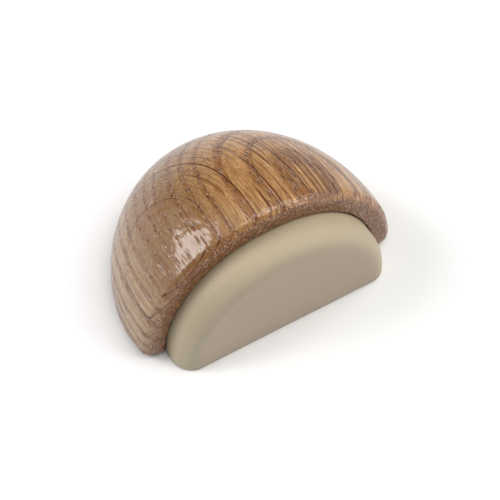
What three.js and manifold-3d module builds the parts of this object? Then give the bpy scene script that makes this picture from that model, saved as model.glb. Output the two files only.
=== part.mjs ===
// Half-moon floor door stop: a quarter-ellipsoid of oak with a rubber buffer on its flat front.
// Millimetres. +X is to the right seen from the door, -Y points at the door, +Z is up, and the
// stop stands on z = 0 with its bounding box centred on the origin.
import * as THREE from "three";
import { mergeVertices } from "three/addons/utils/BufferGeometryUtils.js";
import Module from "manifold-3d";

const wasm = await Module();
wasm.setup();

// Driving dimensions
const GAP = 0.3; // between neighbouring pieces
const BODY_WIDTH = 60;
const BODY_DEPTH = 40;
const BODY_TOP = 29.5;
const BASE_LIFT = 0.2; // the oak's underside, above the floor
const BELLY = 5.2; // from the front face back to the widest section
const BODY_STEPS = 14; // facets on a quarter turn of the oak

const BUFFER_PROUD = 7; // how far the rubber stands out of the oak
const BUFFER_HALF_WIDTH = 24.8;
const BUFFER_TOP = 24.3;
const BUFFER_SIDE_POWER = 2.18; // superellipse powers of the rubber's arch
const BUFFER_TOP_POWER = 1.93;
const BUFFER_RIM = 4.3; // rounding of the rubber's front rim
const BUFFER_STEPS = 72;
const RECESS_DEPTH = 1; // of the shallow seat behind the rubber

const SPIGOT_X = 12; // two moulded pegs on the back of the rubber
const SPIGOT_Z = 10;
const SPIGOT_RADIUS = 4.4;
const SPIGOT_BARB = 0.35;
const SPIGOT_LENGTH = 12;

const SCREW_SETBACK = 7.5; // screws through the spigots, behind the front face
const SCREW_LENGTH = 17;
const SCREW_HEAD_RADIUS = 3.3;
const SCREW_HEAD_HEIGHT = 2;
const SCREW_SHANK_RADIUS = 1.6;
const SCREW_SEAT = 1.2; // height of the head's underside face above the floor
const SCREW_SLOT = 0.9;

const INSERT_RADIUS = 5; // crest of the wood thread on the brass insert
const INSERT_ROOT = 4.2;
const INSERT_LENGTH = 13;
const INSERT_SEAT = 1.5;
const INSERT_THREADS = 5;
const INSERT_BORE = 2.5; // tapping size of the M6 thread
const INSERT_HEX = 3.5; // corner radius of the hexagonal drive
const INSERT_HEX_DEPTH = 4;

const GASKET_THICKNESS = 1;
const GASKET_INSET = 4; // from the rim of the oak's underside
const GASKET_FRONT = 2.6; // from the oak's front face

// Derived places
const FRONT_Y = (BUFFER_PROUD - BODY_DEPTH) / 2;
const CENTRE_Y = FRONT_Y + BELLY;
const HALF_WIDTH = BODY_WIDTH / 2;
const BODY_HEIGHT = BODY_TOP - BASE_LIFT;
const BACK_LENGTH = BODY_DEPTH - BELLY;
const SEAT_Y = FRONT_Y + RECESS_DEPTH;
const SPIGOT_XS = [-SPIGOT_X, SPIGOT_X];
const SCREW_Y = FRONT_Y + SCREW_SETBACK;
const FAR = 100; // longer than the whole stop
const ROUND = 32; // sides of the round bores and shanks

// A closed three.js geometry as a manifold solid.
function solid(geometry) {
  const bare = geometry.clone();
  bare.deleteAttribute("normal");
  bare.deleteAttribute("uv");
  const merged = mergeVertices(bare, 1e-4);
  const corners = merged.index.array;
  const kept = [];
  for (let i = 0; i < corners.length; i += 3) {
    const [a, b, c] = corners.slice(i, i + 3);
    if (a !== b && b !== c && c !== a) kept.push(a, b, c);
  }
  const vertProperties = new Float32Array(merged.attributes.position.array);
  const triVerts = new Uint32Array(kept);
  return new wasm.Manifold(new wasm.Mesh({ numProp: 3, vertProperties, triVerts }));
}

function mesh(name, shape, color, roughness, metalness) {
  const { vertProperties, triVerts } = shape.getMesh();
  const geometry = new THREE.BufferGeometry();
  geometry.setAttribute("position", new THREE.BufferAttribute(vertProperties, 3));
  geometry.setIndex(new THREE.BufferAttribute(triVerts, 1));
  geometry.computeVertexNormals();
  const made = new THREE.Mesh(
    geometry,
    new THREE.MeshStandardMaterial({ color, roughness, metalness }),
  );
  made.name = name;
  return made;
}

// A box from its lowest to its highest corner.
function block(low, high) {
  const [x, y, z] = high.map((value, i) => value - low[i]);
  const box = new THREE.BoxGeometry(x, y, z);
  return solid(box.translate(low[0] + x / 2, low[1] + y / 2, low[2] + z / 2));
}

// A round bar standing on z = low at (x, y).
function upright(x, y, low, height, radius, sides = ROUND) {
  const bar = new THREE.CylinderGeometry(radius, radius, height, sides);
  return solid(bar.rotateX(Math.PI / 2).translate(x, y, low + height / 2));
}

// A turned piece: profile points are [radius, height], from axis to axis.
function turned(profile, sides = ROUND) {
  const points = profile.map(([radius, height]) => new THREE.Vector2(radius, height));
  return new THREE.LatheGeometry(points, sides).rotateX(Math.PI / 2);
}

// An outline in the X-Z plane, extruded from y = front to y = back.
function plateAcross(shape, front, back) {
  const options = { depth: back - front, bevelEnabled: false };
  const plate = new THREE.ExtrudeGeometry(shape, options);
  return solid(plate.rotateX(Math.PI / 2).translate(0, back, 0));
}

// The rubber's arch and its mirror image below the floor, grown by an offset.
function archOutline(grow = 0) {
  const points = [];
  for (let i = 0; i < BUFFER_STEPS; i += 1) {
    const angle = (2 * Math.PI * i) / BUFFER_STEPS;
    const side = Math.sign(Math.cos(angle)) * Math.abs(Math.cos(angle)) ** (2 / BUFFER_SIDE_POWER);
    const rise = Math.sign(Math.sin(angle)) * Math.abs(Math.sin(angle)) ** (2 / BUFFER_TOP_POWER);
    points.push(new THREE.Vector2((BUFFER_HALF_WIDTH + grow) * side, (BUFFER_TOP + grow) * rise));
  }
  return new THREE.Shape(points);
}

// Distance from the middle of the front face's foot to the ellipsoid, along a unit direction.
function reach(direction) {
  const semiAxes = new THREE.Vector3(HALF_WIDTH, BACK_LENGTH, BODY_HEIGHT);
  const ray = direction.clone().divide(semiAxes);
  const offset = BELLY / BACK_LENGTH;
  const a = ray.lengthSq();
  const b = ray.y * offset;
  return (b + Math.sqrt(b * b + a * (1 - offset * offset))) / a;
}

// Half of a cubed sphere, swollen to the ellipsoid: its flat sides become the front and the base.
function quarterEllipsoid() {
  const box = new THREE.BoxGeometry(2, 1, 1, 2 * BODY_STEPS, BODY_STEPS, BODY_STEPS);
  box.translate(0, 0.5, 0.5);
  const place = box.attributes.position;
  const point = new THREE.Vector3();
  for (let i = 0; i < place.count; i += 1) {
    point.fromBufferAttribute(place, i);
    const size = Math.max(Math.abs(point.x), point.y, point.z);
    if (size > 0) {
      point.divideScalar(size);
      point.set(...point.toArray().map((value) => Math.tan((value * Math.PI) / 4)));
      point.normalize();
      point.multiplyScalar(reach(point) * size);
    }
    place.setXYZ(i, point.x, point.y + FRONT_Y, point.z + BASE_LIFT);
  }
  return solid(box);
}

function screwHole() {
  const head = SCREW_SEAT + SCREW_HEAD_HEIGHT + GAP;
  const shank = upright(0, 0, 0, SCREW_SEAT + SCREW_LENGTH + 1, SCREW_SHANK_RADIUS + GAP);
  return upright(0, 0, -1, head + 1, SCREW_HEAD_RADIUS + GAP + 0.1).add(shank);
}

// The outline of the gasket under the oak, grown by an offset.
function gasketOutline(grow = 0) {
  const front = FRONT_Y + GASKET_FRONT - grow;
  const side = HALF_WIDTH - GASKET_INSET + grow;
  const back = BACK_LENGTH - GASKET_INSET + grow;
  const start = Math.asin((front - CENTRE_Y) / back);
  const shape = new THREE.Shape();
  shape.absellipse(0, CENTRE_Y, side, back, start, Math.PI - start, false, 0);
  shape.closePath();
  return shape;
}

function gasketPlate(low, height, grow) {
  const options = { depth: height, bevelEnabled: false, curveSegments: 40 };
  const plate = new THREE.ExtrudeGeometry(gasketOutline(grow), options);
  return solid(plate.translate(0, 0, low));
}

function oakBody() {
  const seat = plateAcross(archOutline(GAP), FRONT_Y - 1, SEAT_Y);
  let body = quarterEllipsoid().subtract(seat);
  for (const x of SPIGOT_XS) {
    const bore = upright(0, 0, 0, SPIGOT_LENGTH + 1, SPIGOT_RADIUS + SPIGOT_BARB + GAP);
    body = body.subtract(bore.rotate([-90, 0, 0]).translate([x, SEAT_Y - 0.5, SPIGOT_Z]));
    body = body.subtract(screwHole().translate([x, SCREW_Y, 0]));
  }
  const insertBore = upright(0, 0, 0, INSERT_SEAT + INSERT_LENGTH + 1, INSERT_RADIUS + GAP);
  body = body.subtract(insertBore);
  body = body.subtract(gasketPlate(-1, 1 + GASKET_THICKNESS + GAP, GAP));
  return mesh("oak_body", body, 0xb08a5e, 0.35, 0);
}

// A peg with two barbs, lying along +Y from y = 0.
function spigot() {
  const crest = SPIGOT_RADIUS + SPIGOT_BARB;
  const profile = [[0, 0], [SPIGOT_RADIUS, 0], [SPIGOT_RADIUS, 2]];
  for (const start of [2, SPIGOT_LENGTH - 3.4]) {
    profile.push([crest, start + 0.6], [SPIGOT_RADIUS, start + 2]);
  }
  profile.push([SPIGOT_RADIUS - 0.8, SPIGOT_LENGTH - GAP], [0, SPIGOT_LENGTH - GAP]);
  return solid(turned(profile)).rotate([-90, 0, 0]);
}

function rubberBuffer() {
  const options = {
    depth: BUFFER_PROUD,
    bevelEnabled: true,
    bevelThickness: BUFFER_RIM,
    bevelSize: BUFFER_RIM,
    bevelOffset: -BUFFER_RIM,
    bevelSegments: 6,
  };
  const whole = new THREE.ExtrudeGeometry(archOutline(), options);
  whole.rotateX(Math.PI / 2).translate(0, FRONT_Y + BUFFER_RIM, 0);
  const back = SEAT_Y - GAP;
  const keep = block([-FAR, -FAR, GAP], [FAR, back, FAR]);
  let buffer = solid(whole).intersect(keep);
  for (const x of SPIGOT_XS) {
    buffer = buffer.add(spigot().translate([x, back - 0.5, SPIGOT_Z]));
  }
  for (const x of SPIGOT_XS) {
    buffer = buffer.subtract(upright(x, SCREW_Y, 2, FAR, SCREW_SHANK_RADIUS + GAP));
  }
  return mesh("rubber_buffer", buffer, 0xc9bd9c, 0.7, 0);
}

// A pan-head wood screw, head down, with a cross recess in the head.
function bufferScrew(name, x) {
  const head = SCREW_HEAD_HEIGHT;
  const profile = [
    [0, 0],
    [SCREW_HEAD_RADIUS - 0.7, 0],
    [SCREW_HEAD_RADIUS, 0.7],
    [SCREW_HEAD_RADIUS, head],
    [SCREW_SHANK_RADIUS, head],
    [SCREW_SHANK_RADIUS, SCREW_LENGTH - 3],
    [0, SCREW_LENGTH],
  ];
  let screw = solid(turned(profile, 24));
  const reachOut = SCREW_HEAD_RADIUS * 0.55;
  const half = SCREW_SLOT / 2;
  screw = screw.subtract(block([-reachOut, -half, -1], [reachOut, half, 1.2]));
  screw = screw.subtract(block([-half, -reachOut, -1], [half, reachOut, 1.2]));
  return mesh(name, screw.translate([x, SCREW_Y, SCREW_SEAT]), 0xb9bcc0, 0.3, 1);
}

// A brass screw-in insert: wood thread outside, M6 inside, hexagonal drive at the mouth.
function threadedInsert() {
  const pitch = (INSERT_LENGTH - 2) / INSERT_THREADS;
  const profile = [[0, 0], [INSERT_ROOT, 0], [INSERT_ROOT, 1]];
  for (let i = 0; i < INSERT_THREADS; i += 1) {
    const start = 1 + i * pitch;
    profile.push([INSERT_RADIUS, start + pitch / 2], [INSERT_ROOT, start + pitch]);
  }
  profile.push([INSERT_ROOT, INSERT_LENGTH], [0, INSERT_LENGTH]);
  const bore = upright(0, 0, -1, INSERT_LENGTH + 2, INSERT_BORE);
  const drive = upright(0, 0, -1, INSERT_HEX_DEPTH + 1, INSERT_HEX, 6);
  const insert = solid(turned(profile)).subtract(bore).subtract(drive);
  return mesh("threaded_insert", insert.translate([0, 0, INSERT_SEAT]), 0xc9a24b, 0.3, 1);
}

function baseGasket() {
  let gasket = gasketPlate(0, GASKET_THICKNESS, 0);
  gasket = gasket.subtract(upright(0, 0, -1, FAR, INSERT_RADIUS + 1));
  for (const x of SPIGOT_XS) {
    gasket = gasket.subtract(upright(x, SCREW_Y, -1, FAR, SCREW_HEAD_RADIUS + 1));
  }
  return mesh("base_gasket", gasket, 0x2c2d2f, 0.9, 0);
}

const doorStop = new THREE.Group();
doorStop.add(oakBody(), rubberBuffer(), threadedInsert(), baseGasket());
doorStop.add(bufferScrew("buffer_screw_left", -SPIGOT_X));
doorStop.add(bufferScrew("buffer_screw_right", SPIGOT_X));

export default doorStop;
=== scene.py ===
"""Half-moon floor door stop: a varnished oak quarter-dome with a cream rubber buffer.

Lengths are millimetres, or metres where a name ends in _M or _m. A mesh is scaled to the frame's
metres as it is made. +X is to the right seen from the door, -Y points at the door, +Z is up, and
the stop stands on z = 0.
"""

import math

import bmesh
import bpy
import numpy as np
from mathutils import Matrix, Quaternion, Vector


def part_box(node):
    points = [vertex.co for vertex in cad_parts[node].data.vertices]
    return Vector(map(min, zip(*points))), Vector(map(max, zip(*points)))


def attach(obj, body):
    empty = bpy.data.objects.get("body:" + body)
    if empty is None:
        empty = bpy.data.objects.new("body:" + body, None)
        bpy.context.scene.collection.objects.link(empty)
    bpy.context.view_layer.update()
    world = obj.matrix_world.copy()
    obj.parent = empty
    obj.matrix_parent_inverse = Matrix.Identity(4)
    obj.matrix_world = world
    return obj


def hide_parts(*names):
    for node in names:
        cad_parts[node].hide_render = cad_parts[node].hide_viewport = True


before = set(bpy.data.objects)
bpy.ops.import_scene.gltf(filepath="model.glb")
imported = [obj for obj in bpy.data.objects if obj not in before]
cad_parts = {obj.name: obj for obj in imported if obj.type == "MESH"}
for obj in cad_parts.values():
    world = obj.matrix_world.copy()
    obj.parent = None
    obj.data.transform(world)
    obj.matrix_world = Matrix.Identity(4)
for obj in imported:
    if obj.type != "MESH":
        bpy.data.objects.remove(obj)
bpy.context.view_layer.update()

MM = 0.001

# Sizes read from the frame
OAK_LOW, OAK_HIGH = (np.array(corner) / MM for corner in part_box("oak_body"))
RUBBER_LOW, RUBBER_HIGH = (np.array(corner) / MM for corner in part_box("rubber_buffer"))
INSERT_LOW, INSERT_HIGH = (np.array(corner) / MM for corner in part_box("threaded_insert"))
SCREW_LOW, SCREW_HIGH = (np.array(corner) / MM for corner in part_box("buffer_screw_right"))
GASKET_LOW, GASKET_HIGH = (np.array(corner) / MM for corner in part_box("base_gasket"))

FRONT_Y = OAK_LOW[1]
BASE_Z = OAK_LOW[2]
HALF_WIDTH = OAK_HIGH[0]
HEIGHT = OAK_HIGH[2] - BASE_Z
BELLY = 5.2  # from the oak's front face back to its widest section
CENTRE = np.array([0.0, FRONT_Y + BELLY, BASE_Z])
SEMI_AXES = np.array([HALF_WIDTH, OAK_HIGH[1] - FRONT_Y - BELLY, HEIGHT])

# Clearances
GAP = 0.3  # between neighbouring pieces
FLARE = 0.2  # how much wider a recess is at its mouth, and how deep that mouth is
PAST = 1.0  # how far cutters reach below the floor, or beyond the gasket

# The oak's edges
CHAMFER = 1.25  # leg of the chamfer between the dome and the front face
EDGE_ROUND = 0.32
BASE_ROUND = 0.5
TIP_ROUND = 1.9  # extra rounding of the base edge at the two front corners
TIP_INNER_X = 0.78 * HALF_WIDTH  # that rounding grows from here out to the half width
TIP_FULL, TIP_END = 1.0, 9.0  # and fades away between these depths behind the front face

# The rubber's arch, a superellipse with a rounded rim
ARCH_HALF_WIDTH = RUBBER_HIGH[0]
ARCH_TOP = RUBBER_HIGH[2]
ARCH_SIDE_POWER = 2.18
ARCH_TOP_POWER = 1.93
BUFFER_RIM = 4.3
BUFFER_BACK_EDGE = ((0.0, 0.3), (0.15, 0.06), (0.35, 0.0))  # inset at depths before the back
SEAT_DEPTH = 1
SEAT_Y = FRONT_Y + SEAT_DEPTH
BUFFER_BACK = FRONT_Y + SEAT_DEPTH - GAP

# Fixings
SPIGOT_X = (SCREW_LOW[0] + SCREW_HIGH[0]) / 2
SPIGOT_Z = 10.0
SPIGOT_RADIUS = 4.4
SPIGOT_LENGTH = RUBBER_HIGH[1] - BUFFER_BACK
BARB_RADIUS = 4.75
SCREW_Y = (SCREW_LOW[1] + SCREW_HIGH[1]) / 2
SCREW_HEAD = (SCREW_HIGH[0] - SCREW_LOW[0]) / 2
SCREW_BORE = 1.9
SOFT_EDGE = 0.15  # how far the gasket's faces are pulled in by its softened edges
SOFT_DEPTH = 0.12  # how much of its thickness each softened edge takes

# How finely the pieces are meshed
MERGE = 0.0005  # points closer than this are one point
ROWS = 40  # on a quarter turn of the dome
ROW_GRADING = 1.3  # above 1, rows crowd towards the front and the base
RIM_GRADING = 1.5  # above 1, rings on the flat faces crowd towards their rims
ARCH_STEPS = 120
RIM_STEPS = 16
GASKET_STEPS = 96
TURN = 48  # sides of a turned piece
THREAD_ROWS = 10  # on one turn of a thread
RIDGE_SLOPE = 2.6  # above 2, a thread has a flat between its ridges


def collection_link(obj):
    bpy.context.scene.collection.objects.link(obj)
    return obj


def mesh_object(name, points, faces):
    """A new object from points in millimetres and faces."""
    mesh = bpy.data.meshes.new(name)
    mesh.from_pydata([tuple(point) for point in np.asarray(points) * MM], [], faces)
    mesh.validate()
    obj = bpy.data.objects.new(name, mesh)
    return collection_link(obj)


def tidy(obj):
    """Merges doubled points and turns every face outwards."""
    work = bmesh.new()
    work.from_mesh(obj.data)
    bmesh.ops.remove_doubles(work, verts=work.verts, dist=MERGE * MM)
    bmesh.ops.recalc_face_normals(work, faces=work.faces)
    work.to_mesh(obj.data)
    work.free()
    return obj


def smooth(obj, degrees):
    """Smooth shading, with edges sharper than the angle kept crisp."""
    obj.data.shade_smooth()
    obj.data.set_sharp_from_angle(angle=math.radians(degrees))
    return obj


def apply_modifiers(obj):
    graph = bpy.context.evaluated_depsgraph_get()
    mesh = bpy.data.meshes.new_from_object(obj.evaluated_get(graph), depsgraph=graph)
    obj.modifiers.clear()
    obj.data = mesh
    return obj


def combine(obj, others, operation):
    """Joins or cuts obj with the other solids, which are then removed."""
    for other in others:
        modifier = obj.modifiers.new(operation, "BOOLEAN")
        modifier.operation = operation
        modifier.solver = "EXACT"
        modifier.object = other
    apply_modifiers(obj)
    for other in others:
        bpy.data.objects.remove(other)
    return obj


def stacked_rings(name, rings, wrap=False):
    """A closed skin over rings of equally many points, capped unless wrap joins last to first."""
    count = len(rings[0])
    points = [point for ring in rings for point in ring]
    faces = []
    for row in range(len(rings) if wrap else len(rings) - 1):
        here, there = row * count, (row + 1) % len(rings) * count
        for i in range(count):
            j = (i + 1) % count
            faces.append((here + i, here + j, there + j, there + i))
    if not wrap:
        faces.append(tuple(range(count)))
        faces.append(tuple((len(rings) - 1) * count + i for i in range(count)))
    return tidy(mesh_object(name, points, faces))


def circle(radius, height, sides=TURN):
    """A ring about the Z axis. radius may be a function of the angle."""
    ring = []
    for i in range(sides):
        angle = 2 * math.pi * i / sides
        r = radius(angle) if callable(radius) else radius
        ring.append((r * math.cos(angle), r * math.sin(angle), height))
    return ring


def turned(name, profile, sides=TURN):
    """A solid turned about Z from (radius, height) pairs. Its two ends are flat or pointed."""
    return stacked_rings(name, [circle(radius, height, sides) for radius, height in profile])


def place(obj, offset, rotation=None):
    """Moves a piece's points by an offset in millimetres, after an optional rotation."""
    if rotation is not None:
        obj.data.transform(rotation)
    obj.data.transform(Matrix.Translation(Vector(offset) * MM))
    return obj


ALONG_Y = Matrix.Rotation(-math.pi / 2, 4, "X")  # turns +Z into +Y


# ---------------------------------------------------------------- the oak block


def round_corner(a, b, radius):
    """Distance to where two distances meet, with that corner rounded."""
    outside = np.hypot(np.maximum(a + radius, 0), np.maximum(b + radius, 0))
    return np.minimum(np.maximum(a, b), -radius) + outside


def smooth_step(low, high, value):
    t = np.clip((value - low) / (high - low), 0, 1)
    return t * t * (3 - 2 * t)


def oak_distance(points):
    """Distance outside the oak block: an ellipsoid cut by its front and its base."""
    from_centre = (points - CENTRE) / SEMI_AXES
    size = np.linalg.norm(from_centre, axis=1)
    slope = np.linalg.norm(from_centre / SEMI_AXES, axis=1) / size
    dome = (size - 1) / slope
    front = FRONT_Y - points[:, 1]
    base = BASE_Z - points[:, 2]
    chamfer = (dome + front + CHAMFER) / math.sqrt(2)
    edge = round_corner(round_corner(dome, chamfer, EDGE_ROUND), front, EDGE_ROUND)
    sideways = smooth_step(TIP_INNER_X, HALF_WIDTH, np.abs(points[:, 0]))
    forwards = smooth_step(TIP_END, TIP_FULL, points[:, 1] - FRONT_Y)
    return round_corner(edge, base, BASE_ROUND + TIP_ROUND * sideways * forwards)


def settle(points, distance, rounds=6, step=0.002, least=0.2):
    """Moves points along the slope of a distance until it is zero.

    least keeps the moves short where the slope all but vanishes.
    """
    points = points.copy()
    for _ in range(rounds):
        here = distance(points)
        slope = np.empty_like(points)
        for axis in range(3):
            nudge = np.zeros(3)
            nudge[axis] = step
            slope[:, axis] = (distance(points + nudge) - distance(points - nudge)) / (2 * step)
        squared = np.maximum((slope * slope).sum(axis=1), least)
        points -= slope * (here / squared)[:, None]
    return points


def oak_grid_point(corner):
    """Maps a point on the surface of the box [-1, 1] x [0, 1] x [0, 1] to the uncut block."""
    corner = np.array(corner, dtype=float)
    size = np.abs(corner).max()
    if size == 0:
        return np.array([0, FRONT_Y, BASE_Z])
    ray = np.tan(corner / size * math.pi / 4)
    ray /= np.linalg.norm(ray)
    scaled = ray / SEMI_AXES
    offset = BELLY / SEMI_AXES[1]
    a, b = scaled @ scaled, scaled[1] * offset
    reach = (b + math.sqrt(b * b + a * (1 - offset * offset))) / a
    return ray * reach * (1 - (1 - size) ** RIM_GRADING) + (0, FRONT_Y, BASE_Z)


def oak_block():
    """The solid block: a box's faces as grids, swollen to the ellipsoid, with rounded edges."""
    half = [(i / ROWS) ** ROW_GRADING for i in range(ROWS + 1)]
    whole = [-t for t in reversed(half[1:])] + half
    sides = [
        (whole, half, lambda u, v: (u, 0, v)),
        (whole, half, lambda u, v: (u, 1, v)),
        (whole, half, lambda u, v: (u, v, 0)),
        (whole, half, lambda u, v: (u, v, 1)),
        (half, half, lambda u, v: (-1, u, v)),
        (half, half, lambda u, v: (1, u, v)),
    ]
    points, faces = [], []
    for us, vs, corner in sides:
        start = len(points)
        points += [oak_grid_point(corner(u, v)) for u in us for v in vs]
        for i in range(len(us) - 1):
            for j in range(len(vs) - 1):
                k = start + i * len(vs) + j
                faces.append((k, k + 1, k + len(vs) + 1, k + len(vs)))
    points = settle(np.array(points), oak_distance)
    return tidy(mesh_object("oak_dome", points, faces))


def arch(grow=0.0):
    """The rubber's outline from its right foot over the top to its left foot, as (x, z)."""
    outline = []
    for i in range(ARCH_STEPS + 1):
        angle = math.pi * i / ARCH_STEPS
        side, rise = math.cos(angle), math.sin(angle)
        x = math.copysign(abs(side) ** (2 / ARCH_SIDE_POWER), side)
        z = abs(rise) ** (2 / ARCH_TOP_POWER)
        outline.append(((ARCH_HALF_WIDTH + grow) * x, (ARCH_TOP + grow) * z))
    return outline


def seat_cutter():
    """The shallow D-shaped seat of the rubber, with a slightly flared mouth."""
    ahead, underneath = FRONT_Y - 2, -3.0
    wide = GAP + FLARE
    rings = []
    for y, grow in ((ahead, wide), (FRONT_Y, wide), (FRONT_Y + FLARE, GAP), (SEAT_Y, GAP)):
        outline = arch(grow)
        left, right = outline[-1][0], outline[0][0]
        ring = [(x, y, z) for x, z in outline]
        ring += [(left, y, underneath), (right, y, underneath)]
        rings.append(ring)
    return stacked_rings("seat_cutter", rings)


def gasket_outline(grow, height):
    """The gasket's D shape as a ring, grown by an offset."""
    side = GASKET_HIGH[0] + grow
    back = GASKET_HIGH[1] - CENTRE[1] + grow
    start = math.asin((GASKET_LOW[1] - grow - CENTRE[1]) / back)
    sweep = math.pi - 2 * start
    angles = [start + sweep * i / GASKET_STEPS for i in range(GASKET_STEPS + 1)]
    return [(side * math.cos(a), CENTRE[1] + back * math.sin(a), height) for a in angles]


def gasket_cutter():
    """The recess of the gasket in the base, with a slightly flared mouth."""
    top = GASKET_HIGH[2] + GAP
    wide = GAP + FLARE
    profile = ((-PAST, wide), (BASE_Z, wide), (BASE_Z + FLARE, GAP), (top, GAP))
    return stacked_rings("gasket_cutter", [gasket_outline(grow, z) for z, grow in profile])


def spigot_bore(x):
    """A flat-bottomed bore behind the seat, wide enough for the barbs."""
    radius = BARB_RADIUS + GAP
    pocket = turned("spigot_bore", [(radius, -0.5), (radius, SPIGOT_LENGTH + 0.7)])
    return place(pocket, (x, SEAT_Y, SPIGOT_Z), ALONG_Y)


def screw_bore(x):
    """A counterbore for the screw's head, then a narrower hole with a drilled point."""
    wide = SCREW_HEAD + GAP + 0.1
    shoulder = SCREW_LOW[2] + 2.3
    deep = SCREW_HIGH[2] + 0.4
    shaft = [(wide, -PAST), (wide, shoulder), (SCREW_BORE, shoulder + 0.4)]
    shaft += [(SCREW_BORE, deep), (0.0, deep + 0.8)]
    return place(turned("screw_bore", shaft), (x, SCREW_Y, 0))


def insert_bore():
    """The insert's bore, with a countersunk mouth and a drilled point."""
    radius = INSERT_HIGH[0] + GAP
    wide = radius + 0.7
    shoulder = GASKET_HIGH[2] + GAP
    deep = INSERT_HIGH[2] + 1
    shaft = [(wide, -PAST), (wide, shoulder), (radius, shoulder + 0.7)]
    shaft += [(radius, deep), (0.0, deep + 2.5)]
    return turned("insert_bore", shaft)


def oak_cutters():
    cutters = [seat_cutter(), gasket_cutter()]
    for x in (-SPIGOT_X, SPIGOT_X):
        cutters += [spigot_bore(x), screw_bore(x)]
    return cutters + [insert_bore()]


def oak_dome():
    return smooth(combine(oak_block(), oak_cutters(), "DIFFERENCE"), 30)


# ---------------------------------------------------------------- the rubber buffer


def inset_arch(inset):
    """The arch pulled in along its normals, its feet kept on the floor line."""
    outline = np.array(arch())
    ahead = np.roll(outline, -1, axis=0)
    behind = np.roll(outline, 1, axis=0)
    along = ahead - behind
    along[0] = along[-1] = (0, 1)
    along[-1] *= -1
    normal = np.stack([along[:, 1], -along[:, 0]], axis=1)
    normal /= np.linalg.norm(normal, axis=1)[:, None]
    return outline - normal * inset


def buffer_ring(y, inset):
    """The D outline at one depth, as a ring: over the arch and back along the foot."""
    foot = RUBBER_LOW[2]
    outline = inset_arch(inset)
    ring = [(x, y, max(z, foot)) for x, z in outline]
    left, right = outline[-1][0], outline[0][0]
    for i in range(1, ARCH_STEPS // 2):
        x = left + (right - left) * 2 * i / ARCH_STEPS
        ring.append((x, y, foot))
    return ring


def buffer_body():
    """The D-shaped block, from its softened back edge to the end of its rounded rim."""
    front = RUBBER_LOW[1]
    rings = [buffer_ring(BUFFER_BACK - depth, inset) for depth, inset in BUFFER_BACK_EDGE]
    for i in range(RIM_STEPS + 1):
        angle = math.pi / 2 * i / RIM_STEPS
        inset = BUFFER_RIM * (1 - math.cos(angle))
        rings.append(buffer_ring(front + BUFFER_RIM * (1 - math.sin(angle)), inset))
    return stacked_rings("buffer_moulding", rings)


def spigot(x):
    """A plug with two barbs and a tapered tip, standing back from the buffer's body."""
    profile = [(SPIGOT_RADIUS, -0.8)]
    for start in (2.0, SPIGOT_LENGTH - 2.9):
        profile += [(SPIGOT_RADIUS, start), (BARB_RADIUS, start + 0.6), (SPIGOT_RADIUS, start + 2)]
    profile.append((SPIGOT_RADIUS - 0.8, SPIGOT_LENGTH))
    return place(turned("spigot", profile), (x, BUFFER_BACK, SPIGOT_Z), ALONG_Y)


def spigot_hole(x):
    """The upright hole through a spigot for its screw."""
    reach = 12.0
    hole = turned("hole", [(SCREW_BORE, -reach), (SCREW_BORE, reach)], 32)
    return place(hole, (x, SCREW_Y, SPIGOT_Z))


def rubber_buffer():
    body = buffer_body()
    combine(body, [spigot(x) for x in (-SPIGOT_X, SPIGOT_X)], "UNION")
    combine(body, [spigot_hole(x) for x in (-SPIGOT_X, SPIGOT_X)], "DIFFERENCE")
    return smooth(body, 35)


# ---------------------------------------------------------------- fixings


def thread_rings(root, crest, pitch, low, high, runout):
    """Rings of a wall with a helical thread, which fades out over runout at both ends."""
    def wall(height):
        fade = min(1.0, max(0.0, (height - low) / runout), max(0.0, (high - height) / runout))

        def radius(angle):
            turn = (height / pitch - angle / (2 * math.pi)) % 1
            ridge = max(0.0, 1 - abs(turn - 0.5) * RIDGE_SLOPE)
            return root + (crest - root) * ridge * fade

        return radius

    count = max(2, round((high - low) / pitch * THREAD_ROWS))
    heights = [low + (high - low) * i / count for i in range(count + 1)]
    return [circle(wall(height), height) for height in heights]


def hexagon(corner):
    """Radius of a hexagon with that corner radius, at an angle."""
    flat = corner * math.cos(math.pi / 6)
    return lambda angle: flat / math.cos((angle + math.pi / 6) % (math.pi / 3) - math.pi / 6)


def brass_insert():
    """A screw-in insert: coarse thread outside, M6 inside, hexagonal drive at the mouth."""
    length = INSERT_HIGH[2] - INSERT_LOW[2]
    outer_root, outer_crest, outer_pitch = 4.2, INSERT_HIGH[0], 2.2
    m6_inner, m6_outer, m6_pitch = 2.5, 3.0, 1.0
    socket, socket_depth = hexagon(3.5), 4.0
    flange = outer_root + 0.2
    rings = [circle(socket, 0.35), circle(3.9, 0.0), circle(outer_root, 0.0)]
    rings += [circle(flange, 0.2), circle(flange, 0.8)]
    rings += thread_rings(outer_root, outer_crest, outer_pitch, 0.9, length - 0.4, 1.0)
    rings += [circle(outer_root, length - 0.3), circle(outer_root - 0.3, length)]
    rings += [circle(m6_outer + 0.3, length)]
    inside = thread_rings(m6_inner, m6_outer, m6_pitch, socket_depth + 0.4, length - 0.4, 0.4)
    rings += reversed(inside)
    rings += [circle(m6_inner, socket_depth + 0.2), circle(m6_outer, socket_depth)]
    rings += [circle(socket, socket_depth)]
    body = stacked_rings("brass_insert", rings, wrap=True)
    return smooth(place(body, (0, 0, INSERT_LOW[2])), 40)


def recess_arm(angle):
    """A tapered bar that cuts two opposite arms of a screw's cross recess."""
    corners = ((1, 1), (-1, 1), (-1, -1), (1, -1))
    mouth = [(x * 1.9, y * 0.42, -0.5) for x, y in corners]
    bottom = [(x * 1.0, y * 0.3, 1.4) for x, y in corners]
    arm = stacked_rings("recess", [mouth, bottom])
    return place(arm, (0, 0, 0), Matrix.Rotation(angle, 4, "Z"))


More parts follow.
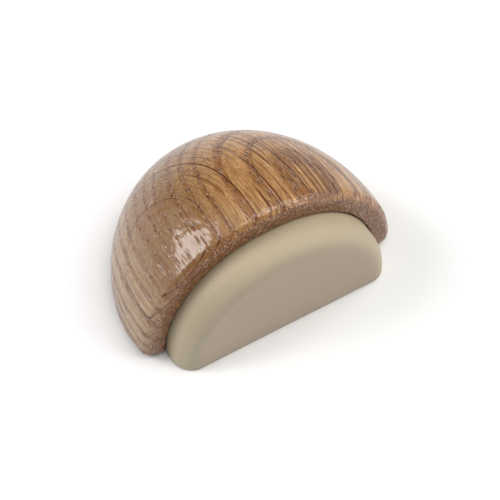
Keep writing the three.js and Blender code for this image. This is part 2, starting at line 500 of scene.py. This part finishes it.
def wood_screw(name, x):
    """A pan-head wood screw, head down, with a cross recess."""
    length = SCREW_HIGH[2] - SCREW_LOW[2]
    root, crest, pitch = 1.12, 1.6, 1.3
    head = [(0.4, 0.0), (SCREW_HEAD - 1.3, 0.03), (SCREW_HEAD - 0.8, 0.14)]
    head += [(SCREW_HEAD - 0.35, 0.4), (SCREW_HEAD - 0.1, 0.8), (SCREW_HEAD, 1.3)]
    head += [(SCREW_HEAD, 1.9), (SCREW_HEAD - 0.1, 2.0)]
    neck = [(1.35, 2.0), (1.2, 2.2)]
    point = [(1.0, length - 2.0), (0.55, length - 1.0), (0.05, length)]
    rings = [circle(radius, height) for radius, height in head + neck]
    rings += thread_rings(root, crest, pitch, 2.3, length - 2.4, 0.6)
    rings += [circle(radius, height) for radius, height in point]
    screw = stacked_rings(name, rings)
    combine(screw, [recess_arm(0.4 + quarter) for quarter in (0, math.pi / 2)], "DIFFERENCE")
    return smooth(place(screw, (x, SCREW_Y, SCREW_LOW[2])), 35)


def gasket_hole(x, y, radius):
    """A round hole with a softened lower edge."""
    low, high = GASKET_LOW[2], GASKET_HIGH[2]
    wide = radius + SOFT_EDGE
    shaft = [(wide, low - PAST), (wide, low), (radius, low + SOFT_DEPTH), (radius, high + PAST)]
    return place(turned("hole", shaft, 64), (x, y, 0))


def rubber_gasket():
    """The die-cut sheet under the oak, with softened edges and its three holes."""
    low, high = GASKET_LOW[2], GASKET_HIGH[2]
    profile = ((low, -SOFT_EDGE), (low + SOFT_DEPTH, 0.0), (high - SOFT_DEPTH, 0.0), (high, -SOFT_EDGE))
    sheet = stacked_rings("grip_gasket", [gasket_outline(grow, z) for z, grow in profile])
    holes = [gasket_hole(0.0, 0.0, INSERT_HIGH[0] + 1)]
    holes += [gasket_hole(x, SCREW_Y, SCREW_HEAD + 1) for x in (-SPIGOT_X, SPIGOT_X)]
    return smooth(combine(sheet, holes, "DIFFERENCE"), 35)


def show(piece, node, material):
    """Puts a finished piece in a CAD node's place."""
    piece.data.materials.clear()
    piece.data.materials.append(material)
    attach(piece, "root")
    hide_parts(node)


# ---------------------------------------------------------------- material formulas


def linear(red, green, blue):
    """An 8-bit screen colour as linear light."""
    channels = []
    for value in (red / 255, green / 255, blue / 255):
        channels.append(value / 12.92 if value <= 0.04045 else ((value + 0.055) / 1.055) ** 2.4)
    return (*channels, 1.0)


class Recipe:
    """A material's node tree, written as formulas. Coordinates are millimetres."""

    def __init__(self, name):
        self.material = bpy.data.materials.new(name)
        self.material.use_nodes = True
        self.tree = self.material.node_tree
        self.shader = self.tree.nodes["Principled BSDF"]
        place_node = self.tree.nodes.new("ShaderNodeTexCoord")
        self.normal = place_node.outputs["Normal"]
        self.point = self.vector("SCALE", place_node.outputs["Object"], scale=1 / MM)

    def put(self, socket, value):
        """Links an output to a socket, or sets the socket to a plain value."""
        if isinstance(value, bpy.types.NodeSocket):
            self.tree.links.new(value, socket)
        elif value is not None:
            socket.default_value = value

    def node(self, kind, inputs, **settings):
        made = self.tree.nodes.new(kind)
        for name, value in settings.items():
            setattr(made, name, value)
        for key, value in inputs.items():
            self.put(made.inputs[key], value)
        return made

    def surface(self, inputs):
        """Gives the shader its inputs by name."""
        for name, value in inputs.items():
            self.put(self.shader.inputs[name], value)

    def math(self, operation, a, b=None):
        return self.node("ShaderNodeMath", {0: a, 1: b}, operation=operation).outputs[0]

    def add(self, a, b):
        return self.math("ADD", a, b)

    def sub(self, a, b):
        return self.math("SUBTRACT", a, b)

    def mul(self, a, b):
        return self.math("MULTIPLY", a, b)

    def vector(self, operation, a, b=None, scale=None):
        made = self.node("ShaderNodeVectorMath", {0: a, 1: b}, operation=operation)
        if scale is not None:
            self.put(made.inputs["Scale"], scale)
        return made.outputs["Value" if operation == "DOT_PRODUCT" else "Vector"]

    def split(self, vector):
        return self.node("ShaderNodeSeparateXYZ", {0: vector}).outputs

    def join(self, x, y, z):
        return self.node("ShaderNodeCombineXYZ", {0: x, 1: y, 2: z}).outputs[0]

    def stretch(self, size):
        """The point's coordinates counted in steps of that size along each axis."""
        return self.vector("MULTIPLY", self.point, tuple(1 / length for length in size))

    def noise(self, vector, detail, roughness=0.5, colour=False):
        made = self.node("ShaderNodeTexNoise", {"Vector": vector, "Scale": 1.0, "Detail": detail,
                                                "Roughness": roughness})
        return made.outputs["Color" if colour else "Fac"]

    def cells(self, vector):
        """One scattered point to a cell: outputs the distance to it and the cell's own colour."""
        return self.node("ShaderNodeTexVoronoi", {"Vector": vector, "Scale": 1.0}).outputs

    def ramp(self, value, low, high, out_low=0.0, out_high=1.0):
        """value from low to high, eased to out_low to out_high and held outside."""
        made = self.node("ShaderNodeMapRange", {"Value": value, "From Min": low, "From Max": high,
                                                "To Min": out_low, "To Max": out_high},
                         interpolation_type="SMOOTHSTEP")
        return made.outputs["Result"]

    def mix(self, amount, a, b):
        """Colour a where amount is 0, b where it is 1, and a blend between."""
        return self.node("ShaderNodeMix", {0: amount, 6: a, 7: b}, data_type="RGBA").outputs[2]

    def layers(self, colour, coats):
        """Lays colours over the first one in turn, each by its own amount."""
        for amount, coat in coats:
            colour = self.mix(amount, colour, coat)
        return colour

    def bump(self, height, distance, strength=1.0, below=None):
        """Turns a height, in parts of distance millimetres, into a normal."""
        made = self.node("ShaderNodeBump", {"Height": height, "Distance": distance * MM,
                                            "Strength": strength, "Normal": below})
        return made.outputs["Normal"]


# ---------------------------------------------------------------- oak

# The block was sawn with its pith beside and above it: rings are cylinders about this line
PITH_X = 27.0
PITH_Z = 60.0
RING_STEP = 3.2
RING_DRIFT = 2.6  # how far the rings wander from side to side
END_GRAIN = (0.6, 0.97)  # a normal's share along Y where end grain begins and where it is full
COLUMN_SHIFT = 0.6  # how far a ray may stray sideways, as a share of its column
COLUMN_STEP = 7.31  # between columns in the noise that breaks them up, so that no two match

PALE = linear(224, 181, 128)
GOLD = linear(207, 160, 104)
STRAW = linear(222, 188, 142)
INNER_TAN = linear(134, 112, 80)
OUTER_TAN = linear(196, 175, 140)
BROWN = linear(124, 78, 38)
RED_BROWN = linear(128, 80, 42)
RAY_BROWN = linear(92, 46, 14)
PORE_BROWN = linear(74, 38, 12)
END_BROWN = linear(136, 82, 44)
# A painted glint: pale colour that stands in for light caught by the varnish on end grain
PAINTED_GLINT = linear(212, 168, 128)


class Grain:
    """The wood at a point: its place in the log and in its growth ring, and how it was cut."""

    def __init__(self, oak):
        slow = oak.noise(oak.stretch((15, 40, 15)), 1.0, colour=True)
        drift = oak.vector("SUBTRACT", slow, (0.5, 0.5, 0.5))
        drift = oak.vector("SCALE", drift, scale=RING_DRIFT)
        self.x, _, z = oak.split(oak.vector("ADD", oak.point, drift))
        self.y = oak.split(oak.point)[1]
        across = oak.sub(self.x, PITH_X)
        below = oak.sub(PITH_Z, z)
        self.radius = oak.math("SQRT", oak.add(oak.mul(across, across), oak.mul(below, below)))
        self.angle = oak.math("ARCTAN2", across, below)

        # The cut: slant is 1 where a ray meets the surface squarely, end is 1 on end grain
        round_pith = oak.vector("NORMALIZE", oak.join(below, 0.0, across))
        facing = oak.vector("DOT_PRODUCT", oak.normal, round_pith)
        facing = oak.math("ABSOLUTE", facing)
        squared = oak.math("MAXIMUM", oak.sub(1.0, oak.mul(facing, facing)), 0.01)
        self.slant = oak.math("SQRT", squared)
        self.backwards = oak.split(oak.normal)[1]
        self.facing_end = oak.math("ABSOLUTE", self.backwards)
        self.end = oak.ramp(self.facing_end, *END_GRAIN)

        # A growth ring: open earlywood first, then denser latewood
        uneven = oak.noise(oak.join(oak.mul(self.radius, 0.14), 0.0, 0.0), 1.0)
        rings = oak.add(oak.mul(self.radius, 1 / RING_STEP), oak.mul(uneven, 1.4))
        self.phase = oak.math("FRACT", rings)
        self.early = oak.mul(oak.ramp(self.phase, 0.0, 0.07), oak.ramp(self.phase, 0.5, 0.22))
        self.late = oak.ramp(self.phase, 0.45, 1.0)

        self.fibre = oak.noise(oak.stretch((0.11, 3.4, 0.11)), 2.0, 0.6)
        self.strand = oak.noise(oak.stretch((0.34, 9.0, 0.34)), 2.0, 0.6)


def oak_pores(oak, grain):
    """Pores, which are tubes along Y, and the shallow dips in the varnish over the large ones."""
    large = oak.cells(oak.stretch((0.64, 2.8, 0.64)))["Distance"]
    small = oak.cells(oak.stretch((0.34, 1.8, 0.34)))["Distance"]
    large_pore = oak.mul(oak.ramp(large, 0.34, 0.2), grain.early)
    small_share = oak.ramp(grain.phase, 0.95, 0.3, 0.35, 0.8)
    small_pore = oak.mul(oak.ramp(small, 0.38, 0.16), small_share)
    dips = oak.mul(oak.ramp(large, 0.54, 0.14), grain.early)
    return oak.math("MAXIMUM", large_pore, small_pore), dips


def ray_plates(oak, grain, spacing, half_width, length, presence, seed):
    """Medullary rays: thin plates on radii, each column broken into tapered stretches along Y.

    spacing is in radians about the pith, and presence shifts how much of a column has a ray.
    """
    column = oak.mul(grain.angle, 1 / spacing)
    index = oak.math("FLOOR", column)
    within = oak.sub(oak.math("FRACT", column), 0.5)
    chance = oak.node("ShaderNodeTexWhiteNoise", {"W": oak.add(index, seed)},
                      noise_dimensions="1D").outputs["Value"]
    aside = oak.math("ABSOLUTE", oak.sub(within, oak.mul(oak.sub(chance, 0.5), COLUMN_SHIFT)))
    aside = oak.mul(oak.mul(aside, spacing), grain.radius)
    aside = oak.math("DIVIDE", aside, oak.math("POWER", grain.slant, 0.6))
    along = oak.join(oak.mul(grain.y, 1 / length), oak.mul(index, COLUMN_STEP), seed)
    taper = oak.ramp(oak.add(oak.noise(along, 0.0), presence), 0.5, 0.66)
    line = oak.ramp(oak.sub(oak.mul(taper, half_width), aside), -0.05, 0.07)
    return oak.mul(line, oak.ramp(grain.slant, 0.1, 0.55))


def oak_rays(oak, grain):
    """Coarse rays, which fade on end grain, and fine ones, which are denser there."""
    broad = ray_plates(oak, grain, spacing=0.043, half_width=0.19, length=26.0,
                       presence=0.12, seed=3.0)
    to_right = oak.ramp(grain.x, -16.0, 20.0, 0.0, 0.16)
    medium = ray_plates(oak, grain, spacing=0.0135, half_width=0.1, length=11.0,
                        presence=oak.sub(to_right, 0.08), seed=11.0)
    fine = ray_plates(oak, grain, spacing=0.0088,
                      half_width=oak.ramp(grain.facing_end, *END_GRAIN, 0.08, 0.14), length=5.0,
                      presence=oak.ramp(grain.facing_end, *END_GRAIN, 0.1, 0.35), seed=29.0)
    coarse = oak.mul(oak.math("MAXIMUM", broad, medium), oak.sub(1.0, oak.mul(grain.end, 0.7)))
    return coarse, fine


def end_grain_specks(oak, grain):
    """Cut pores, and painted glints beside them: pale spots that stand in for light caught by the
    varnish, fewer on the back.
    """
    cells = oak.cells(oak.stretch((0.52, 2.2, 0.52)))
    chance, evenness, _ = oak.split(cells["Color"])
    pores = oak.mul(oak.ramp(cells["Distance"], 0.5, 0.2), oak.ramp(chance, 0.7, 0.4))
    # Painted glints: pale spots beside the cut pores that stand in for light caught by the varnish
    painted_glints = oak.mul(oak.ramp(cells["Distance"], 0.6, 0.2), oak.ramp(evenness, 0.5, 0.9))
    # Fewer painted glints where the surface faces backwards
    return pores, oak.mul(painted_glints, oak.ramp(grain.backwards, -0.7, 0.7, 0.8, 0.15))


def long_grain_colour(oak, grain, pores, rays, fine_rays):
    """Slow changes of the log first, then rings, fibres, rays and pores over them."""
    streak = oak.noise(oak.stretch((1.3, 34.0, 1.3)), 2.0, 0.6)
    patch = oak.noise(oak.stretch((9.0, 22.0, 9.0)), 1.0)
    return oak.layers(oak.mix(oak.ramp(patch, 0.3, 0.7), PALE, GOLD), (
        (oak.ramp(grain.radius, 39.0, 55.0, 0.0, 0.88), INNER_TAN),
        (oak.ramp(grain.radius, 61.0, 71.0, 0.0, 0.8), OUTER_TAN),
        (oak.mul(grain.late, 0.2), BROWN),
        (oak.mul(grain.early, 0.72), RED_BROWN),
        (oak.ramp(streak, 0.35, 0.75, 0.0, 0.55), BROWN),
        (oak.ramp(grain.strand, 0.4, 0.7, 0.0, 0.55), BROWN),
        (oak.ramp(grain.fibre, 0.42, 0.68, 0.0, 0.5), BROWN),
        (oak.ramp(grain.fibre, 0.42, 0.3, 0.0, 0.4), STRAW),
        (oak.mul(fine_rays, 0.45), BROWN),
        (oak.mul(rays, 0.9), RAY_BROWN),
        (oak.mul(pores, 0.8), PORE_BROWN),
    ))


def end_grain_colour(oak, grain, colour, fine_rays, cut_pores, painted_glints):
    """End grain drinks varnish: redder, striped by fine rays and speckled with cut pores, with pale
    painted glints over them.
    """
    return oak.layers(colour, (
        (oak.mul(grain.end, 0.62), END_BROWN),
        (oak.mul(oak.mul(fine_rays, grain.end), 0.7), PORE_BROWN),
        (oak.mul(oak.mul(cut_pores, grain.end), 0.8), PORE_BROWN),
        # Painted glints: pale spots standing in for light caught by the varnish
        (oak.mul(painted_glints, grain.end), PAINTED_GLINT),
    ))


def oak_material():
    """Oak under a clear varnish that follows the pores and waves a little of its own."""
    oak = Recipe("oak_varnished")
    grain = Grain(oak)
    pores, dips = oak_pores(oak, grain)
    rays, fine_rays = oak_rays(oak, grain)
    cut_pores, painted_glints = end_grain_specks(oak, grain)
    colour = long_grain_colour(oak, grain, pores, rays, fine_rays)
    colour = end_grain_colour(oak, grain, colour, fine_rays, cut_pores, painted_glints)

    height = oak.add(oak.mul(dips, -0.9), oak.mul(rays, -0.25))
    height = oak.add(height, oak.mul(grain.strand, 0.1))
    # On end grain the painted glint spots also stand a little proud of the varnish, and the cut pores
    # sink into it
    height = oak.add(height, oak.mul(oak.mul(oak.sub(painted_glints, cut_pores), grain.end), 0.7))
    wave = oak.noise(oak.stretch((1.6, 2.6, 1.6)), 1.0)
    oak.surface({
        "Base Color": colour,
        "Roughness": oak.ramp(grain.fibre, 0.3, 0.7, 0.5, 0.65),
        "Specular IOR Level": 0.12,
        "Normal": oak.bump(height, 0.12),
        "Coat Weight": 0.8,
        "Coat Roughness": 0.14,
        "Coat IOR": 1.65,
        "Coat Normal": oak.bump(wave, 0.2, below=oak.bump(height, 0.14)),
    })
    return oak.material


# ---------------------------------------------------------------- rubber and metal


def rubber_material():
    """Matt cream rubber with faint moulding specks; its flat front carries painted shade, darker and
    greyer than the rim.
    """
    rubber = Recipe("cream_rubber")
    cloud = rubber.noise(rubber.stretch((12, 12, 12)), 3.0)
    grain = rubber.noise(rubber.stretch((0.35, 0.35, 0.35)), 3.0, 0.6)
    cells = rubber.cells(rubber.stretch((2.4, 2.4, 2.4)))
    chance = rubber.split(cells["Color"])[0]
    speck = rubber.mul(rubber.ramp(cells["Distance"], 0.13, 0.05), rubber.ramp(chance, 0.72, 0.8))
    # Painted shade: where the surface faces the front squarely, the rubber is painted darker and greyer
    # than its rim, standing in for light falling from above
    flat = rubber.ramp(rubber.math("ABSOLUTE", rubber.split(rubber.normal)[1]), 0.7, 1.0)
    colour = rubber.mix(rubber.ramp(cloud, 0.3, 0.7), linear(181, 168, 142), linear(176, 163, 138))
    colour = rubber.layers(colour, (
        # painted shade on the flat front
        (flat, linear(166, 152, 133)),
        (rubber.ramp(grain, 0.3, 0.8, 0.0, 0.14), linear(156, 142, 116)),
        (rubber.mul(speck, 0.5), linear(132, 114, 88)),
    ))
    height = rubber.sub(rubber.mul(grain, 0.6), speck)
    rubber.surface({
        "Base Color": colour,
        "Roughness": rubber.ramp(grain, 0.2, 0.8, 0.5, 0.64),
        "Specular IOR Level": 0.45,
        "Sheen Weight": 0.08,
        "Sheen Roughness": 0.4,
        "Normal": rubber.bump(height, 0.03, 0.6),
    })
    return rubber.material


def metal_material(name, light, shade, mark_step):
    """Turned metal: fine tool marks round the Z axis, faint staining."""
    metal = Recipe(name)
    stain = metal.noise(metal.stretch((1.6, 1.6, 1.6)), 3.0)
    marks = metal.noise(metal.stretch((2.0, 2.0, mark_step)), 2.0)
    metal.surface({
        "Base Color": metal.mix(metal.ramp(stain, 0.3, 0.75), light, shade),
        "Metallic": 1.0,
        "Roughness": metal.ramp(stain, 0.3, 0.8, 0.22, 0.42),
        "Normal": metal.bump(marks, 0.012, 0.5),
    })
    return metal.material


def gasket_material():
    """Black sheet rubber, matt and a little dusty."""
    sheet = Recipe("black_rubber")
    grain = sheet.noise(sheet.stretch((0.25, 0.25, 0.25)), 3.0, 0.65)
    dust = sheet.noise(sheet.stretch((4, 4, 4)), 3.0)
    sheet.surface({
        "Base Color": sheet.mix(sheet.ramp(dust, 0.35, 0.75), linear(34, 34, 36), linear(56, 55, 54)),
        "Roughness": sheet.ramp(grain, 0.2, 0.8, 0.62, 0.82),
        "Normal": sheet.bump(grain, 0.05, 0.7),
    })
    return sheet.material


# ---------------------------------------------------------------- stage

FLOOR_SIZE_M = 1.2
FLOOR_DROP_M = 0.00005  # the floor lies this far below the gasket, so that no faces coincide
LIGHT_AIM_M = 0.012  # height above the floor that the lights are aimed at


def floor():
    """A matt, nearly white floor, faintly mottled."""
    bpy.ops.mesh.primitive_plane_add(size=FLOOR_SIZE_M, location=(0, 0, -FLOOR_DROP_M))
    plane = bpy.context.object
    plane.name = "floor"
    paper = Recipe("white_floor")
    mottle = paper.noise(paper.stretch((30, 30, 30)), 2.0)
    paper.surface({
        "Base Color": paper.mix(mottle, (0.92, 0.94, 0.96, 1), (0.94, 0.96, 0.98, 1)),
        "Roughness": 0.9,
    })
    plane.data.materials.append(paper.material)


def area_light(name, azimuth, elevation, distance_m, size_m, power, colour):
    """A rectangular light aimed at the stop. Azimuth 0 is over the door side, 90 to the right."""
    a, e = math.radians(azimuth), math.radians(elevation)
    direction = Vector((math.sin(a) * math.cos(e), -math.cos(a) * math.cos(e), math.sin(e)))
    data = bpy.data.lights.new(name, "AREA")
    data.shape = "RECTANGLE"
    data.size, data.size_y = size_m
    data.energy = power
    data.color = colour
    light = collection_link(bpy.data.objects.new(name, data))
    light.location = direction * distance_m + Vector((0, 0, LIGHT_AIM_M))
    light.rotation_mode = "QUATERNION"
    light.rotation_quaternion = direction.to_track_quat("Z", "Y")


def lights():
    """Two small bright windows that the varnish mirrors, and three wide soft boxes."""
    area_light("window_left", azimuth=-122, elevation=41, distance_m=0.9, size_m=(0.44, 0.42),
               power=3.9, colour=(1.0, 0.95, 0.97))
    area_light("window_front", azimuth=44, elevation=23, distance_m=0.9, size_m=(0.34, 0.2),
               power=1.6, colour=(1.0, 0.97, 0.95))
    area_light("fill_left", azimuth=-122, elevation=24, distance_m=1.0, size_m=(1.1, 0.8),
               power=1.9, colour=(0.92, 1.0, 0.96))
    area_light("softbox_right", azimuth=66, elevation=62, distance_m=1.2, size_m=(1.25, 1.15),
               power=12.1, colour=(1.0, 0.97, 0.92))
    area_light("ceiling", azimuth=60, elevation=84, distance_m=1.2, size_m=(1.6, 1.6),
               power=4.2, colour=(1.0, 0.98, 0.95))


def studio_walls():
    """Dim surroundings, bright only low down where the floor ends."""
    low_strength, wall_strength = 0.75, 0.04
    fade_start, fade_end = 0.08, 0.2  # sines of the angle above the horizon
    world = bpy.data.worlds.new("studio")
    world.use_nodes = True
    nodes, links = world.node_tree.nodes, world.node_tree.links
    direction = nodes.new("ShaderNodeTexCoord").outputs["Generated"]
    height = nodes.new("ShaderNodeSeparateXYZ")
    fade = nodes.new("ShaderNodeMapRange")
    fade.inputs["From Min"].default_value = fade_start
    fade.inputs["From Max"].default_value = fade_end
    fade.inputs["To Min"].default_value = low_strength
    fade.inputs["To Max"].default_value = wall_strength
    links.new(direction, height.inputs[0])
    links.new(height.outputs["Z"], fade.inputs["Value"])
    links.new(fade.outputs["Result"], nodes["Background"].inputs["Strength"])
    nodes["Background"].inputs["Color"].default_value = (0.96, 0.97, 1.0, 1)
    bpy.context.scene.world = world


def camera():
    """Looks down on the stop from in front of its left corner."""
    elevation, turn, roll = math.radians(54.04), math.radians(29.4), math.radians(1.17)
    distance_m = 0.274
    aim = Vector((0, FRONT_Y + 9, BASE_Z + 9)) * MM
    towards = Vector((-math.sin(turn) * math.cos(elevation),
                      -math.cos(turn) * math.cos(elevation), math.sin(elevation)))
    data = bpy.data.cameras.new("camera")
    data.sensor_width = 36.0
    data.lens = 95.73
    data.shift_x, data.shift_y = 0.0009, -0.0122
    data.clip_start, data.clip_end = 0.01, 10
    view = collection_link(bpy.data.objects.new("camera", data))
    view.location = aim + towards * distance_m
    view.rotation_mode = "QUATERNION"
    level = towards.to_track_quat("Z", "Y")
    view.rotation_quaternion = level @ Quaternion((0, 0, 1), -roll)
    bpy.context.scene.camera = view


# ---------------------------------------------------------------- the scene

brass = metal_material("brass_turned", linear(222, 184, 110), linear(190, 146, 78), mark_step=0.12)
steel = metal_material("zinc_steel", linear(204, 206, 210), linear(168, 172, 180), mark_step=0.1)
show(oak_dome(), "oak_body", oak_material())
show(rubber_buffer(), "rubber_buffer", rubber_material())
show(brass_insert(), "threaded_insert", brass)
show(rubber_gasket(), "base_gasket", gasket_material())
show(wood_screw("screw_left", -SPIGOT_X), "buffer_screw_left", steel)
show(wood_screw("screw_right", SPIGOT_X), "buffer_screw_right", steel)
floor()
lights()
studio_walls()
camera()
bpy.context.scene.view_settings.view_transform = "Standard"
